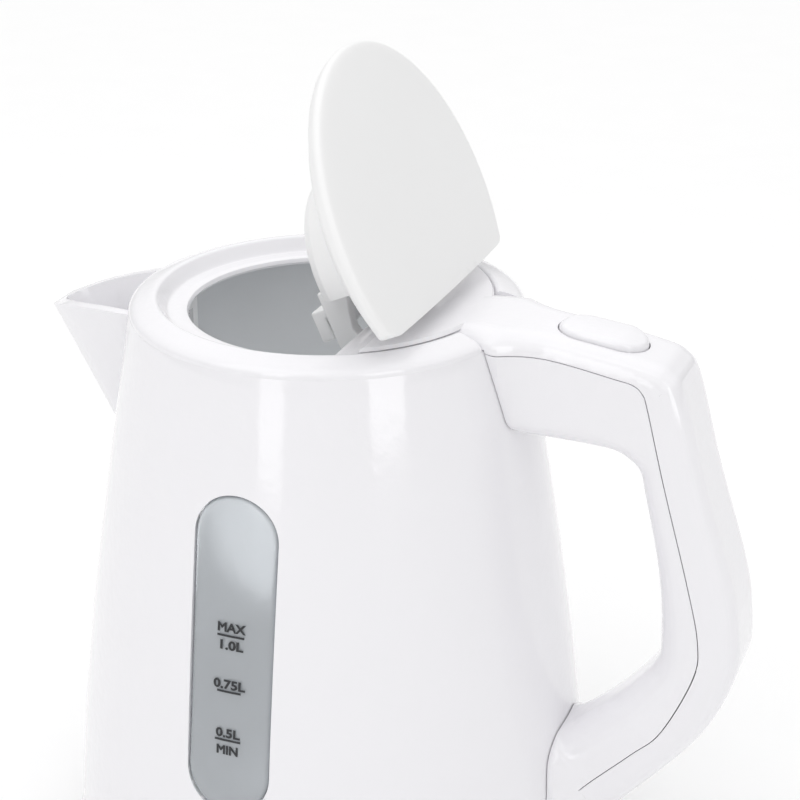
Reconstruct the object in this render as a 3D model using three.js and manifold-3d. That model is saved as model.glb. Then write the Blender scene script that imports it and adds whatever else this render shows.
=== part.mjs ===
import * as THREE from "three";
import { ConvexGeometry } from "three/addons/geometries/ConvexGeometry.js";
import { mergeVertices } from "three/addons/utils/BufferGeometryUtils.js";
import Module from "manifold-3d";

// Cordless electric kettle with its lid open, millimetres.
// Origin on the jug's axis at table level: +Z up, +X towards the handle, -X towards the spout.

const wasm = await Module();
wasm.setup();

// Driving dimensions
const GAP = 0.3; // clearance between neighbouring pieces
const WALL = 2.4; // moulded wall thickness
const LIP_Z = 180; // ledge inside the rim, level with the mouth's lip
const LIP_R = 40.1; // radius of the mouth
const FOOT_Z = 15.5; // lower edge of the jug's wall
const SHELF_Z = 47.8; // underside of the shelf that holds the heater
const SHELF_TOP = 50.5;
const SHELF_R = 58; // inner radius of that shelf
const HINGE = { x: 31.9, z: 177.9 }; // lid pivot, parallel to Y
const LID_OPEN = THREE.MathUtils.degToRad(65.5);
const LID_R = 49.8;
const LID_CHORD_X = 23.3; // straight hinge edge of the closed lid
const PLUG = { x: 7, r: 27.5, floor: 161, rear: 11.5 }; // plug under the lid, nearer the hinge
const FAN_FRONT_X = 18.6; // front of the hinge head that covers the rear of the mouth
const ARM_Y = [12, 16.5]; // the two hinge arms, either side of the middle
const CHEEK_Y = [6.2, 8.1]; // the cheeks that hold the pin, either side of the spring
const PIN_R = 1.5;
const GRIP_HALF = 13.4; // half the handle's width
const GRIP_FLARE = 5.8; // extra half-width where the handle meets the jug
const FLARE_LENGTH = 14;
const BUTTON = { x0: 77.5, x1: 88, r: 7.4 }; // stadium outline of the release button
const WINDOW = { half: 12.3, z0: 54, z1: 146.4 }; // water window
const BASE_R = 82;
const POST_R = 15; // connector post of the power base
const SOCKET_R = 17; // socket above it in the jug
const STEAM_TUBE = { top: [53, 160], bottom: [69.5, 36], r: 3.6, bore: 2.4 };
const BOSS_R = 69; // pitch radius of the bottom screws
const FINE = 44; // facets round the jug
const COARSE = 22;

// Outer radius of the jug's wall at a height: a cone with a slight barrel.
function wallRadius(z) {
  const d = LIP_Z - z;
  return 57.07 + 0.16875 * d + 1.457e-4 * d ** 2 - 1.996e-6 * d ** 3;
}

// Handle outlines beside the jug, as x and height above the lip.
const OUTER = [
  [44, 4.7], [52.5, 4.8], [68.3, 3.8], [84, 1.9], [97.7, -0.3], [104, -2.6], [108.4, -8.9],
  [115.5, -33.9], [125, -63.6], [127.8, -79], [127.4, -93], [118.4, -113.9], [98.6, -138.3],
  [89.5, -147.7], [82, -154.4],
];
const INNER = [
  [76.1, -122.4], [81.8, -118.3], [93.3, -107.3], [103.2, -94.2], [105, -84.5], [103.4, -63],
  [98.5, -38.6], [97.3, -33.1], [94.8, -30], [90.6, -27.7], [83.4, -26.9], [61.5, -26.4], [50, -26],
];
const SEAM = [
  [53.5, -0.4], [57.9, -0.9], [74.3, -2.2], [89.5, -4.6], [94.9, -5.6], [97.8, -7.9], [99.5, -12.5],
  [104.9, -33.3], [113.4, -63.6], [117.3, -80.6], [116.7, -92.6], [108.4, -112.2],
  [99.8, -122], [85.1, -137.3],
];

// ---------- solids ----------

function signedVolume(position, index) {
  const a = new THREE.Vector3();
  const b = new THREE.Vector3();
  const c = new THREE.Vector3();
  let sum = 0;
  for (let i = 0; i < index.length; i += 3) {
    a.fromArray(position, index[i] * 3);
    b.fromArray(position, index[i + 1] * 3);
    c.fromArray(position, index[i + 2] * 3);
    sum += a.dot(b.cross(c));
  }
  return sum / 6;
}

// A closed geometry as a solid: shared vertices merged, collapsed faces dropped, faces outwards.
function solid(geometry) {
  const bare = geometry.index ? geometry.toNonIndexed() : geometry.clone();
  bare.deleteAttribute("normal");
  bare.deleteAttribute("uv");
  const merged = mergeVertices(bare, 1e-4);
  const position = merged.attributes.position.array;
  const faces = [];
  for (let i = 0; i < merged.index.count; i += 3) {
    const [p, q, r] = [0, 1, 2].map((k) => merged.index.array[i + k]);
    if (p !== q && q !== r && r !== p) faces.push(p, q, r);
  }
  if (signedVolume(position, faces) < 0) faces.reverse();
  const vertProperties = new Float32Array(position);
  const triVerts = new Uint32Array(faces);
  return new wasm.Manifold(new wasm.Mesh({ numProp: 3, vertProperties, triVerts }));
}

// A closed profile of [radius, height] points turned about Z.
function turned(profile, facets = COARSE) {
  const points = [...profile, profile[0]].map(([r, z]) => new THREE.Vector2(r, z));
  return solid(new THREE.LatheGeometry(points, facets).rotateX(Math.PI / 2));
}

function box(x0, x1, y0, y1, z0, z1) {
  const size = new THREE.BoxGeometry(x1 - x0, y1 - y0, z1 - z0);
  return solid(size.translate((x0 + x1) / 2, (y0 + y1) / 2, (z0 + z1) / 2));
}

function outline(points) {
  return new THREE.Shape(points.map(([x, y]) => new THREE.Vector2(x, y)));
}

function extruded(shape, depth, curveSegments = 8) {
  return new THREE.ExtrudeGeometry(shape, { depth, bevelEnabled: false, curveSegments });
}

// A shape drawn in X and Y, raised from z0 to z1.
function raised(shape, z0, z1) {
  return solid(extruded(shape, z1 - z0).translate(0, 0, z0));
}

// A shape drawn in X and Z, running from y0 to y1.
function across(shape, y0, y1) {
  return solid(extruded(shape, y1 - y0).rotateX(Math.PI / 2).translate(0, y1, 0));
}

// A shape drawn in Y and Z, running from x0 to x1.
function along(shape, x0, x1) {
  const turn = new THREE.Matrix4().makeBasis(
    new THREE.Vector3(0, 1, 0),
    new THREE.Vector3(0, 0, 1),
    new THREE.Vector3(1, 0, 0),
  );
  return solid(extruded(shape, x1 - x0).applyMatrix4(turn).translate(x0, 0, 0));
}

// A round bar from one point to another.
function bar(from, to, radius, sides = 16) {
  const start = new THREE.Vector3(...from);
  const line = new THREE.Vector3(...to).sub(start);
  const geometry = new THREE.CylinderGeometry(radius, radius, line.length(), sides);
  const up = new THREE.Vector3(0, 1, 0);
  const turn = new THREE.Quaternion().setFromUnitVectors(up, line.clone().normalize());
  geometry.applyQuaternion(turn).translate(...start.addScaledVector(line, 0.5));
  return solid(geometry);
}

// Two half circles joined by straight sides, the long way along the second axis.
function stadium(half, low, high, middle = 0) {
  const shape = new THREE.Shape();
  shape.moveTo(middle + half, low + half);
  shape.absarc(middle, high - half, half, 0, Math.PI);
  shape.absarc(middle, low + half, half, Math.PI, 2 * Math.PI);
  return shape;
}

// The same, the long way along X, centred on y = 0.
function longStadium(x0, x1, radius) {
  const shape = new THREE.Shape();
  shape.absarc(x1, 0, radius, -Math.PI / 2, Math.PI / 2);
  shape.absarc(x0, 0, radius, Math.PI / 2, (3 * Math.PI) / 2);
  return shape;
}

// A smooth line through a few points.
function smooth(points, count) {
  const line = points.map(([x, y]) => new THREE.Vector2(x, y));
  return new THREE.SplineCurve(line).getPoints(count).map((p) => [p.x, p.y]);
}

// A line moved sideways: to its left when the distance is positive.
function offsetLine(points, distance) {
  return points.map(([x, y], i) => {
    const before = points[Math.max(i - 1, 0)];
    const after = points[Math.min(i + 1, points.length - 1)];
    const run = new THREE.Vector2(after[0] - before[0], after[1] - before[1]).normalize();
    return [x - run.y * distance, y + run.x * distance];
  });
}

// The jug's wall as a plain solid, grown or shrunk by an offset.
function wallSolid(offset, z0, z1) {
  const profile = [[0, z0]];
  for (let i = 0; i <= 8; i++) {
    const z = z0 + ((z1 - z0) * i) / 8;
    profile.push([wallRadius(z) + offset, z]);
  }
  profile.push([0, z1]);
  return turned(profile, FINE);
}

// ---------- finishes ----------

const FINISHES = {
  glossWhite: [0xf6f7f8, 0.22, 0],
  satinWhite: [0xf1f2f3, 0.5, 0],
  window: [0xaeb3b6, 0.15, 0],
  darkPlastic: [0x2d2f31, 0.5, 0],
  rubber: [0x3a3b3c, 0.8, 0],
  silicone: [0xd9dadb, 0.7, 0],
  steel: [0xc4c7ca, 0.3, 1],
  brass: [0xc9a24e, 0.35, 1],
  amber: [0xc56a1a, 0.2, 0],
};

const kettle = new THREE.Group();

function add(name, shape, finish) {
  const mesh = shape.getMesh();
  const geometry = new THREE.BufferGeometry();
  geometry.setAttribute("position", new THREE.BufferAttribute(mesh.vertProperties, 3));
  geometry.setIndex(new THREE.BufferAttribute(mesh.triVerts, 1));
  geometry.computeVertexNormals();
  const [color, roughness, metalness] = FINISHES[finish];
  const material = new THREE.MeshStandardMaterial({ color, roughness, metalness });
  const node = new THREE.Mesh(geometry, material);
  node.name = name;
  kettle.add(node);
  return node;
}

const around = (radius, degrees) => {
  const angle = THREE.MathUtils.degToRad(degrees);
  return [radius * Math.cos(angle), radius * Math.sin(angle)];
};

// ---------- power base ----------

const BASE_ANGLES = [60, 180, 300];

function baseTopShell() {
  return turned([
    [BASE_R, 3.2], [BASE_R, 8], [80.5, 11.5], [77, 13.6], [70, 14.5], [20.3, 14.7],
    [20.3, 12.4], [68, 12.2], [75, 11.2], [78, 9.2], [79.6, 7], [79.6, 3.2],
  ], FINE).subtract(bar([BASE_R + 3, 0, 5.6], [BASE_R - 8, 0, 5.6], 4.4));
}

function basePlate() {
  let plate = turned([
    [0, 0], [24, 0], [25, 1], [25, 2], [79.2, 2], [79.2, 3.8], [23, 3.8], [22, 1.8], [0, 1.8],
  ], FINE);
  for (const degrees of BASE_ANGLES) {
    const [x, y] = around(50, degrees);
    plate = plate.add(bar([x, y, 2.2], [x, y, 7.5], 4));
    plate = plate.subtract(bar([x, y, 0], [x, y, 3.6], 3.2)).subtract(bar([x, y, 3], [x, y, 9], 1.7));
  }
  return plate.subtract(bar([BASE_R + 3, 0, 5.6], [BASE_R - 14, 0, 5.6], 4.4));
}

function baseConnector() {
  return turned([
    [3, 9], [26, 9], [26, 12], [19.9, 12], [19.9, 16], [POST_R, 16.6], [POST_R, 27.4],
    [14.4, 28], [8.7, 28], [8.7, 18], [5.9, 18], [5.9, 28], [3, 28],
  ]);
}

// A spring contact blade standing in the post's ring-shaped slot.
function contactBlade(radius, degrees) {
  const half = THREE.MathUtils.degToRad(22);
  const middle = THREE.MathUtils.degToRad(degrees);
  const shape = new THREE.Shape();
  shape.absarc(0, 0, radius + 0.3, middle - half, middle + half);
  shape.absarc(0, 0, radius - 0.3, middle + half, middle - half, true);
  return raised(shape, 18 + GAP, 26);
}

function makeBase() {
  add("base_top_shell", baseTopShell(), "glossWhite");
  add("base_plate", basePlate(), "glossWhite");
  add("base_connector", baseConnector(), "darkPlastic");
  add("contact_line", contactBlade(8.2, 90), "brass");
  add("contact_neutral", contactBlade(6.4, 270), "brass");
  add("contact_earth", turned([[2.3, 10], [2.7, 10], [2.7, 17.5], [2.3, 17.5]], 16), "brass");
  BASE_ANGLES.forEach((degrees, i) => {
    const [fx, fy] = around(70, degrees + 30);
    const foot = turned([[0, 0], [6, 0], [6.6, 0.8], [6.6, 1.7], [0, 1.7]], 16);
    add(`base_foot_${i + 1}`, foot.translate([fx, fy, 0]), "rubber");
    const [x, y] = around(50, degrees);
    const head = turned([[0, 1.6], [2.8, 1.6], [2.8, 2.7], [1.3, 2.7], [1.3, 12], [0, 12]], 12);
    add(`base_screw_${i + 1}`, head.translate([x, y, 0]), "steel");
  });
  const bush = turned([[3.3, 0], [4.1, 0], [4.1, 9], [5.4, 9], [5.4, 12], [3.3, 12]], 20);
  const gland = bush.rotate([0, 90, 0]).translate([74, 0, 5.6]);
  add("cord_gland", gland, "rubber");
}

// ---------- jug ----------

// Top edge of the spout from near its tip to the wall, as [x, half-width, z].
const SPOUT_EDGE = [
  [-88, 5.8, 169.9], [-84, 9, 171.3], [-80, 12, 172.6], [-74, 15.3, 174.1], [-68, 17.9, 175.3],
  [-62, 20.3, 176.3], [-55, 22.6, 177.1], [-45, 22.6, 177.1],
];

// The spout is a keeled beak, leaf-shaped from above and open at the top.
function beak(inset, top) {
  const corner = (x, y, z) => new THREE.Vector3(x, y, z);
  const points = [
    corner(-90.5 + 2.2 * inset, 0, 168 + top),
    corner(-66.6 + 1.2 * inset, 0, 122.3 + 4 * inset),
    corner(-45, 0, 122.3 + 4 * inset),
  ];
  for (const [x, half, z] of SPOUT_EDGE) {
    for (const side of [-1, 1]) {
      points.push(corner(x + 1.5 * inset, side * (half - 0.9 * inset), z + top));
    }
  }
  return solid(new ConvexGeometry(points));
}

const CREST = [[56.9, 181.3], [55.4, 182.3], [53.2, 183.2], [50.4, 184], [48.7, 183.8]];

function jugShell() {
  const rows = (z0, z1, count) =>
    Array.from({ length: count + 1 }, (_, i) => z0 + ((z1 - z0) * i) / count);
  const outer = rows(FOOT_Z, LIP_Z, 8).map((z) => [wallRadius(z), z]);
  const inner = rows(174, SHELF_TOP, 5).map((z) => [wallRadius(z) - WALL, z]);
  const below = [SHELF_Z, FOOT_Z].map((z) => [wallRadius(z) - WALL, z]);
  const ledge = [[45.7, LIP_Z], [LIP_R, LIP_Z], [LIP_R - 0.2, 179], [LIP_R + 0.3, 178], [50, 177.6]];
  const shelf = [[SHELF_R, SHELF_TOP], [SHELF_R, SHELF_Z]];
  return turned([...outer, ...CREST, ...ledge, ...inner, ...shelf, ...below], FINE);
}

function jugBody() {
  const pour = along(outline([[-14, 168], [-3, 137], [3, 137], [14, 168]]), -76, -50);
  const spout = beak(0, 0)
    .subtract(wallSolid(-0.5, 100, 190))
    .subtract(pour.intersect(wallSolid(0.4, 100, 190)));
  const channel = beak(1, 6).subtract(wallSolid(0, 100, 190));
  let body = jugShell().subtract(pour).add(spout).subtract(channel);
  // Passage of the handle's cover over the rim, and the notch in the ledge for the hinge.
  const passage = outline([[42, -16.2], [66, -21.8], [66, 21.8], [42, 16.2]]);
  body = body.subtract(raised(passage, LIP_Z, 190));
  body = body.subtract(box(26.5, 42.8, -18, 18, 176, 181));
  body = body.subtract(across(stadium(WINDOW.half + GAP, WINDOW.z0 - GAP, WINDOW.z1 + GAP), -100, -40));
  for (const degrees of BASE_ANGLES) {
    const [x, y] = around(BOSS_R, degrees + 20);
    body = body.add(bar([x, y, 18], [x, y, SHELF_Z + 0.5], 3.6));
    body = body.subtract(bar([x, y, 17], [x, y, 32], 1.5));
  }
  body = body.subtract(bar([68, 0, 45], [68, 0, 53], 5));
  return body.subtract(box(70, 90, -9, 9, 10, 25.5));
}

function waterWindow() {
  const lens = across(stadium(WINDOW.half, WINDOW.z0, WINDOW.z1), -100, -40);
  const flange = across(stadium(WINDOW.half + 3, WINDOW.z0 - 2.6, WINDOW.z1 + 3), -100, -40);
  const slab = wallSolid(-0.15, 48, 160).subtract(wallSolid(-WALL - 2.6, 46, 162));
  const back = wallSolid(-WALL - 1.4, 48, 160).subtract(wallSolid(-WALL - 2.6, 46, 162));
  return lens.intersect(slab).add(flange.intersect(back));
}

function windowGasket() {
  const wide = across(stadium(WINDOW.half + 2.7, WINDOW.z0 - 2.3, WINDOW.z1 + 2.7), -100, -40);
  const hole = across(stadium(WINDOW.half + 0.6, WINDOW.z0 - 0.6, WINDOW.z1 + 0.6), -101, -39);
  const layer = wallSolid(-WALL - GAP, 48, 160).subtract(wallSolid(-WALL - 1.1, 46, 162));
  return wide.subtract(hole).intersect(layer);
}

function filterFrame() {
  const frame = along(outline([[-16, 128], [16, 128], [16, 170], [-16, 170]]), -53, -50.6);
  return frame.subtract(along(outline([[-13, 131], [13, 131], [13, 167], [-13, 167]]), -54, -49));
}

function heatingElement() {
  const coil = new THREE.Curve();
  coil.getPoint = (t, target = new THREE.Vector3()) => {
    const angle = THREE.MathUtils.degToRad(25 + 310 * t);
    return target.set(40 * Math.cos(angle), 40 * Math.sin(angle), 41.2);
  };
  const section = new THREE.Shape().absarc(0, 0, 3.4, 0, 2 * Math.PI);
  const settings = { steps: 24, curveSegments: 4, bevelEnabled: false, extrudePath: coil };
  return solid(new THREE.ExtrudeGeometry(section, settings));
}

function controlBody() {
  const puck = turned([
    [SOCKET_R, 18.4], [20, 18.4], [20, 31], [30, 31], [30, 42.6], [0, 42.6], [0, 38],
    [2.3, 38], [2.3, 30], [6.6, 30], [6.6, 36], [8.1, 36], [8.1, 30], [SOCKET_R, 30],
  ]);
  return puck.subtract(turned([[0, 29], [2.3, 29], [2.3, 38], [0, 38]]));
}

function steamTube() {
  const { top, bottom, r, bore } = STEAM_TUBE;
  const place = ([x, z]) => [x, 0, z];
  const low = place(bottom);
  const high = place(top);
  const skin = bar(low, high, r, 16);
  const lean = new THREE.Vector3(...high).sub(new THREE.Vector3(...low)).setLength(2);
  const past = (p, sign) => new THREE.Vector3(...p).addScaledVector(lean, sign).toArray();
  return skin.subtract(bar(past(low, -1), past(high, 1), bore, 16));
}

function bottomCover() {
  let cover = turned([[21.6, 15.1], [76.4, 15.1], [76.4, 17.2], [21.6, 17.2]], FINE);
  for (const degrees of BASE_ANGLES) {
    const [x, y] = around(BOSS_R, degrees + 20);
    cover = cover.subtract(bar([x, y, 14], [x, y, 18], 1.6)).subtract(bar([x, y, 14], [x, y, 16.5], 2.9));
  }
  return cover.subtract(box(66, 80, -9, 9, 14, 18));
}

function switchLever() {
  const paddle = raised(outline([[60, -5], [72, -7], [90, -8], [94, -6], [94, 6], [90, 8], [72, 7], [60, 5]]), 20.4, 23.2);
  return paddle.add(bar([71, -11, 21.8], [71, 11, 21.8], 1.6, 12));
}

function switchBracket() {
  const wing = outline([[66, 26], [66, 30], [74, 30], [74, 19], [68, 19], [68, 26]]);
  const near = across(wing, -10.6, -8.6);
  const far = across(wing, 8.6, 10.6);
  const bridge = box(66, 74, -9, 9, 27.5, 30);
  const hole = bar([71, -12, 21.8], [71, 12, 21.8], 1.9, 12);
  return near.add(far).add(bridge).subtract(hole);
}

function makeJug() {
  add("jug_body", jugBody(), "glossWhite");
  add("water_window", waterWindow(), "window");
  add("window_gasket", windowGasket(), "silicone");
  add("filter_frame", filterFrame(), "satinWhite");
  const mesh = along(outline([[-12.7, 131.3], [12.7, 131.3], [12.7, 166.7], [-12.7, 166.7]]), -52.1, -51.5);
  add("filter_mesh", mesh, "steel");
  add("heater_plate", turned([[0, 45], [62.5, 45], [62.5, 46], [0, 46]], FINE), "steel");
  add("heater_seal", turned([[58.4, 46.3], [62.3, 46.3], [62.3, 47.5], [58.4, 47.5]], FINE), "silicone");
  add("heating_element", heatingElement(), "steel");
  add("control_body", controlBody(), "darkPlastic");
  add("connector_pin", turned([[0, 19], [1.4, 19.6], [1.4, 37.7], [0, 37.7]], 16), "brass");
  add("connector_ring", turned([[7, 20], [7.7, 20], [7.7, 35.7], [7, 35.7]], 24), "brass");
  for (const [i, y] of [-14, 14].entries()) {
    const disc = turned([[0, 43.3], [7, 43.3], [7, 43.9], [0, 43.9]], 20);
    add(`dry_boil_disc_${i + 1}`, disc.translate([0, y, 0]), "brass");
  }
  add("steam_disc", bar([62, 0, 32.5], [62.6, 0, 32.5], 7, 20), "brass");
  add("steam_tube", steamTube(), "satinWhite");
  add("switch_bracket", switchBracket(), "darkPlastic");
  add("switch_lever", switchLever(), "satinWhite");
  add("bottom_cover", bottomCover(), "glossWhite");
  BASE_ANGLES.forEach((degrees, i) => {
    const [x, y] = around(BOSS_R, degrees + 20);
    const screw = turned([[0, 15.2], [2.6, 15.2], [2.6, 16.2], [1.1, 16.2], [1.1, 30], [0, 30]], 12);
    add(`bottom_screw_${i + 1}`, screw.translate([x, y, 0]), "steel");
  });
}

// ---------- handle ----------

// Half-width of the handle: its arms flare where they meet the jug, most at top and bottom.
function handleHalf(x, z) {
  const out = x - wallRadius(z);
  const near = THREE.MathUtils.clamp(1 - out / FLARE_LENGTH, 0, 1);
  const share = THREE.MathUtils.clamp(z > 100 ? (z - 154) / 26 : (70 - z) / 35, 0, 1);
  return GRIP_HALF + GRIP_FLARE * share * near ** 2 + 0.26 * Math.min(out, 0);
}

const lifted = (points) => points.map(([x, z]) => [x, z + LIP_Z]);

function handleSolid(points, half, bevel) {
  const settings = { depth: 2 * (half - bevel), bevelEnabled: bevel > 0, bevelThickness: bevel,
    bevelSize: bevel, bevelOffset: -bevel, bevelSegments: 1, steps: 1 };
  const geometry = new THREE.ExtrudeGeometry(outline(points), settings);
  geometry.rotateX(Math.PI / 2).translate(0, half - bevel, 0);
  const place = geometry.attributes.position;
  for (let i = 0; i < place.count; i++) {
    place.setY(i, (place.getY(i) * handleHalf(place.getX(i), place.getZ(i))) / GRIP_HALF);
  }
  return solid(geometry);
}

// Everything on the cover's side of the seam, the seam moved towards the jug by a distance.
function coverSide(distance) {
  const seam = offsetLine(smooth(SEAM, 18), -distance);
  const end = seam[seam.length - 1];
  const points = [[20, LIP_Z], ...seam, [end[0] + 11, end[1] - 12.5], [150, -150], [150, 30], [20, 30]];
  points[0] = [20, 0.3 - distance];
  points.splice(1, 0, [50, 0.3 - distance]);
  return across(outline(lifted(points)), -40, 40);
}

const fullOutline = lifted([...smooth(OUTER, 22), [72, -158], [66, -128], ...smooth(INNER, 18), [44, -23]]);
const whole = handleSolid(fullOutline, GRIP_HALF, 2.5).subtract(wallSolid(0.35, 10, LIP_Z + GAP));
const hollowOutline = offsetLine(fullOutline, -WALL);
const hollow = handleSolid(hollowOutline, GRIP_HALF - WALL, 0)
  .subtract(wallSolid(0.35 + WALL, 5, LIP_Z + GAP))
  .subtract(box(0, 62, -40, 40, LIP_Z + GAP, 200));

// The cover's screw, square to the outer face of the lower arm.
const SCREW_AT = new THREE.Vector3(104.6, 0, LIP_Z - 131.4);
const SCREW_OUT = new THREE.Vector3(0.752, 0, -0.659).normalize();
const screwPoint = (depth) => SCREW_AT.clone().addScaledVector(SCREW_OUT, -depth).toArray();
const screwBar = (from, to, radius, sides) => bar(screwPoint(from), screwPoint(to), radius, sides);

function fanHead() {
  const plate = turned([[0, 180.3], [45.3, 180.3], [48.1, 183.8], [47.5, 184.7], [0, 184.7]], FINE);
  let fan = plate.intersect(box(FAN_FRONT_X, 60, -50, 50, 170, 190));
  const step = outline([
    [10, 181], [18.6, 181], [22.6, 181.9], [25, 182], [26.6, 184.9], [26.6, 190], [10, 190],
  ]);
  fan = fan.subtract(across(step, -60, 60));
  for (const side of [-1, 1]) {
    const [y0, y1] = [ARM_Y[0] - GAP, ARM_Y[1] + GAP].map((y) => y * side).sort((a, b) => a - b);
    fan = fan.subtract(box(28, 37, y0, y1, 170, 181.6));
    const [c0, c1] = CHEEK_Y.map((y) => y * side).sort((a, b) => a - b);
    fan = fan.add(box(28.6, 35.2, c0, c1, 174.6, 181.6));
  }
  const inner = CHEEK_Y[0];
  fan = fan.subtract(box(27.8, 36.2, -inner, inner, 170, 181.6));
  return fan.subtract(bar([HINGE.x, -12, HINGE.z], [HINGE.x, 12, HINGE.z], PIN_R + 0.3, 16));
}

function handleCover() {
  let cover = whole.intersect(coverSide(0)).subtract(hollow);
  cover = cover.add(fanHead().subtract(box(60, 70, -5, 5, 170, 190)));
  cover = cover.subtract(box(40.2, 66.2, -3.9, 3.9, 178, 182.3)).subtract(box(40.6, 46.4, -13, 13, 179, 182.3));
  cover = cover.subtract(raised(longStadium(BUTTON.x0, BUTTON.x1, BUTTON.r + 0.35), 172, 190));
  cover = cover.add(screwBar(1, 4.5, 4));
  return cover.subtract(screwBar(-4, 2.3, 3.1)).subtract(screwBar(2, 6, 1.7));
}

function handleGrip() {
  let grip = whole.subtract(coverSide(GAP)).subtract(hollow);
  grip = grip.add(screwBar(4.9, 23.8, 3.4)).subtract(screwBar(4, 17, 1.4));
  return grip.add(bar([87, 0, 154.5], [87, 0, 162], 4.2));
}

// ---------- release ----------

function releaseButton() {
  const top = outline([[69, 176.9], [69, 184.2], [72, 185.3], [80, 185], [90, 183.6], [96, 181.6], [96, 176.9]]);
  const cap = raised(longStadium(BUTTON.x0, BUTTON.x1, BUTTON.r), 174, 190).intersect(across(top, -10, 10));
  const flange = raised(longStadium(BUTTON.x0, BUTTON.x1 - 1, BUTTON.r + 1.4), 175.2, 177);
  return cap.add(flange).add(box(70.8, 73.4, -3, 3, 171.4, 176));
}

function latchSlider() {
  const side = outline([
    [41, 180.7], [61.3, 180.7], [65.8, 166.2], [80, 166.2], [80, 171], [75, 167.8], [67, 167.8],
    [62.5, 181.9], [41, 181.9],
  ]);
  return across(side, -3.5, 3.5).add(box(41, 43, -12.6, 12.6, 180.7, 181.9));
}

function makeHandle() {
  add("handle_cover", handleCover(), "glossWhite");
  add("handle_grip", handleGrip(), "glossWhite");
  add("handle_screw", screwBar(0.6, 2, 2.7).add(screwBar(1.8, 15, 1.05)), "steel");
  add("hinge_pin", bar([HINGE.x, -17, HINGE.z], [HINGE.x, 17, HINGE.z], PIN_R, 16), "steel");
  const coil = turned([[1.9, -5.8], [3, -5.8], [3, 5.8], [1.9, 5.8]], 16);
  add("lid_spring", coil.rotate([90, 0, 0]).translate([HINGE.x, 0, HINGE.z]), "steel");
  add("release_button", releaseButton(), "glossWhite");
  const spring = turned([[2.4, 162.4], [3.4, 162.4], [3.4, 174.8], [2.4, 174.8]], 16);
  add("button_spring", spring.translate([87, 0, 0]), "steel");
  add("latch_slider", latchSlider(), "darkPlastic");
}

// ---------- lid, drawn closed and then swung open about its pin ----------

function opened(shape) {
  const degrees = THREE.MathUtils.radToDeg(LID_OPEN);
  return shape
    .translate([-HINGE.x, 0, -HINGE.z])
    .rotate([0, degrees, 0])
    .translate([HINGE.x, 0, HINGE.z]);
}

const before = (x) => box(-80, x, -80, 80, 100, 260);

// Plan of the lid: a disc with a straight rear edge, its two corners rounded.
function lidPlan(r) {
  const reach = LID_R + 0.5;
  const x = LID_CHORD_X - r;
  const y = Math.sqrt((reach - r) ** 2 - x ** 2);
  const turn = Math.atan2(y, x);
  const points = [];
  for (let i = 0; i <= 6; i++) {
    const angle = (turn * i) / 6;
    points.push([x + r * Math.cos(angle), y + r * Math.sin(angle)]);
  }
  for (let i = 1; i < 48; i++) {
    const angle = turn + (2 * (Math.PI - turn) * i) / 48;
    points.push([reach * Math.cos(angle), reach * Math.sin(angle)]);
  }
  for (let i = 6; i >= 0; i--) {
    const angle = (turn * i) / 6;
    points.push([x + r * Math.cos(angle), -y - r * Math.sin(angle)]);
  }
  return points;
}

function lidOuter() {
  const skin = turned([
    [0, 184.4], [48.7, 184.4], [49.4, 185.6], [LID_R, 186.9], [LID_R - 0.5, 188], [LID_R - 2.5, 188.8],
    [36, 189.8], [20, 190.4], [0, 190.6],
  ], FINE).intersect(raised(outline(lidPlan(9)), 100, 260));
  const inside = turned([
    [0, 183], [46.9, 183], [47.7, 186.2], [46.4, 187], [36, 187.9], [20, 188.5], [0, 188.7],
  ], FINE).intersect(before(LID_CHORD_X - 2));
  return skin.subtract(inside);
}

function lidInner() {
  const { x, r, floor, rear } = PLUG;
  const flange = turned([[0, 181], [43.9, 181], [46.2, 184.6], [46.2, 186], [0, 186]], FINE);
  const cup = turned([
    [0, floor], [r - 9, floor], [r - 4, floor + 1.5], [r - 1, floor + 6.5], [r, 182], [0, 182],
  ], FINE).translate([x, 0, 0]);
  const bowl = turned([
    [0, floor + 1.8], [r - 9.6, floor + 1.8], [r - 5.4, floor + 3.2], [r - 2.8, floor + 7.4],
    [r - 1.8, 187], [0, 187],
  ], FINE).translate([x, 0, 0]);
  let plug = flange.intersect(before(18)).add(cup.intersect(before(rear)));
  plug = plug.subtract(bowl.intersect(before(rear - 1.8)));
  // Goose-neck arms: back from the foot of the plug, then up to the pin.
  const arm = outline([
    [10.2, 157], [27.6, 157], [31.2, 160.5], [35.1, 176.8], [28.8, 175.8], [26.4, 168], [23.6, 163.2],
    [18, 164.2], [12, 165.9], [10.2, 165.9],
  ]);
  for (const side of [-1, 1]) {
    const [y0, y1] = ARM_Y.map((y) => y * side).sort((a, b) => a - b);
    const knuckle = bar([HINGE.x, y0, HINGE.z], [HINGE.x, y1, HINGE.z], 3.3, 20);
    const bore = bar([HINGE.x, y0 - 1, HINGE.z], [HINGE.x, y1 + 1, HINGE.z], PIN_R + 0.3, 16);
    plug = plug.add(across(arm, y0, y1)).add(knuckle).subtract(bore);
  }
  // Catch plate between the arms.
  const hook = outline([[15.2, 161.5], [15.2, 151.8], [24.5, 151.8], [24.5, 155.6], [18, 155.6], [18, 161.5]]);
  return plug.add(across(hook, -15, 15));
}

function makeLid() {
  add("lid_outer", opened(lidOuter()), "satinWhite");
  add("lid_inner", opened(lidInner()), "satinWhite");
}

makeBase();
makeJug();
makeHandle();
makeLid();

export default kettle;
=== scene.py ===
"""Cordless electric kettle, lid open, on its power base: the finished looks around the CAD frame."""
import math

import bmesh
import bpy
from bpy.props import FloatProperty, FloatVectorProperty, IntProperty, PointerProperty
from mathutils import Matrix, Vector


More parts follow.
